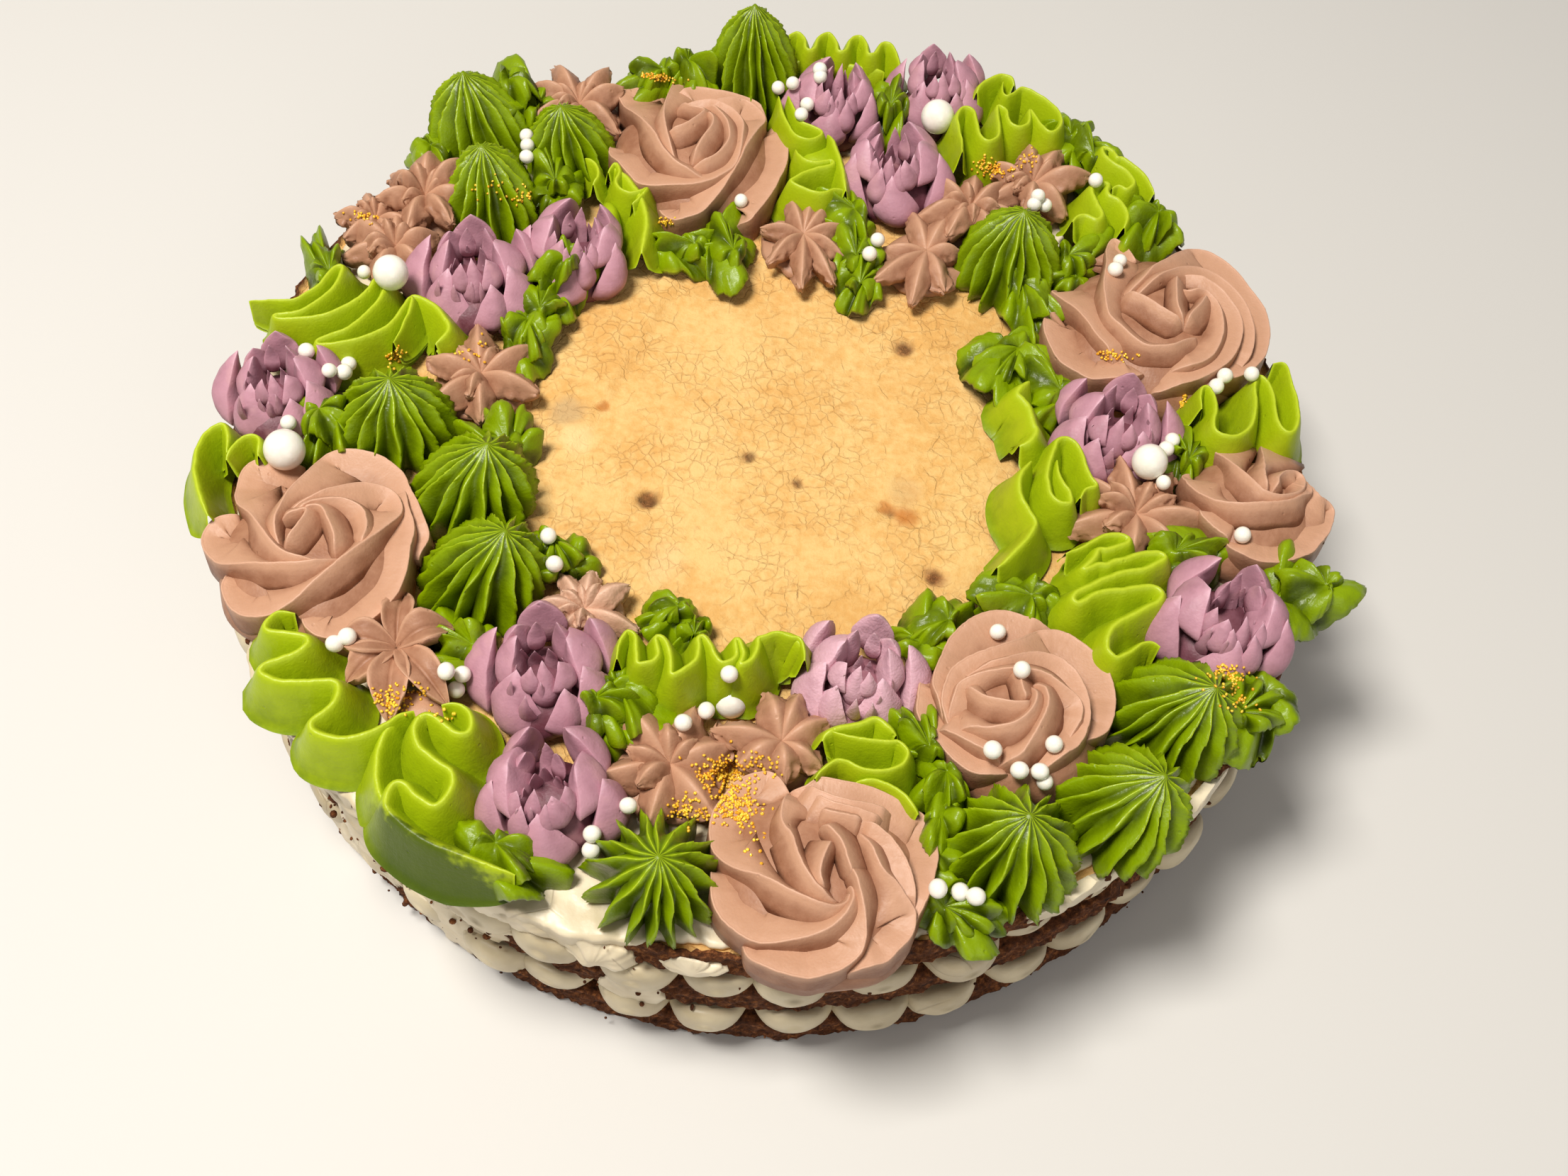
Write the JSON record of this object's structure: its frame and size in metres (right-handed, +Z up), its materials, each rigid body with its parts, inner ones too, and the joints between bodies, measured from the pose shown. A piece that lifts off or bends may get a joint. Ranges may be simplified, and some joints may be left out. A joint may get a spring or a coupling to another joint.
{
  "type": "cookie cake",
  "caption": "Round layered cookie cake filled with piped cream and ringed on top by piped icing roses, petal flowers, star domes, ruffles and leaves with sugar pearls.",
  "frame": {"origin": "middle of the flat underside of the bottom cookie", "axes": "+Z up through the middle of the cake, -Y towards the viewer, +X to the right"},
  "size_m": [0.2612, 0.2641, 0.0793],
  "materials": {
    "baked_cookie": "matte, coarse dark-brown baked crumb at the cookies' sides",
    "golden_cookie": "matte golden top crust with fine cracks; dark-brown sides",
    "white_cream": "soft satin off-white cream",
    "mauve_icing": "satin dusty pink-brown buttercream",
    "purple_icing": "satin dusty purple buttercream",
    "dark_green_icing": "slightly glossy leaf-green buttercream",
    "light_green_icing": "satin yellow-green buttercream",
    "sugar_pearl": "soft pearly sugar shell",
    "gold_sugar": "sparkling gold sugar grains"
  },
  "bodies": {
    "root": {"cookie_bottom": "baked_cookie", "cream_lower": "white_cream", "cookie_middle": "baked_cookie", "cream_upper": "white_cream", "cookie_top": "golden_cookie", "rim_cream": "white_cream", "blossom_1": "mauve_icing", "blossom_2": "mauve_icing", "blossom_3": "mauve_icing", "blossom_4": "mauve_icing", "blossom_5": "mauve_icing", "blossom_6": "mauve_icing", "blossom_7": "mauve_icing", "blossom_8": "mauve_icing", "blossom_9": "mauve_icing", "blossom_10": "mauve_icing", "cluster_1": "purple_icing", "cluster_2": "purple_icing", "cluster_3": "purple_icing", "cluster_4": "purple_icing", "cluster_5": "purple_icing", "cluster_6": "purple_icing", "cluster_7": "purple_icing", "cluster_8": "purple_icing", "cluster_9": "purple_icing", "cluster_10": "purple_icing", "cluster_11": "purple_icing", "dome_1": "dark_green_icing", "dome_2": "dark_green_icing", "dome_3": "dark_green_icing", "dome_4": "dark_green_icing", "dome_5": "dark_green_icing", "dome_6": "dark_green_icing", "dome_7": "dark_green_icing", "dome_8": "dark_green_icing", "dome_9": "dark_green_icing", "dome_10": "dark_green_icing", "dome_11": "dark_green_icing", "dome_12": "dark_green_icing", "leaf_inner_left": "dark_green_icing", "leaf_inner_right": "dark_green_icing", "leaf_right": "dark_green_icing", "rose_back": "mauve_icing", "rose_back_right": "mauve_icing", "rose_front": "mauve_icing", "rose_inner_right": "mauve_icing", "rose_left": "mauve_icing", "rose_right": "mauve_icing", "ruffle_1": "light_green_icing", "ruffle_2": "light_green_icing", "ruffle_3": "light_green_icing", "ruffle_4": "light_green_icing", "ruffle_5": "light_green_icing", "ruffle_6": "light_green_icing", "ruffle_7": "light_green_icing", "ruffle_8": "light_green_icing", "ruffle_9": "light_green_icing", "ruffle_10": "light_green_icing", "ruffle_11": "light_green_icing", "ruffle_12": "light_green_icing"}
  },
  "joints": []
}
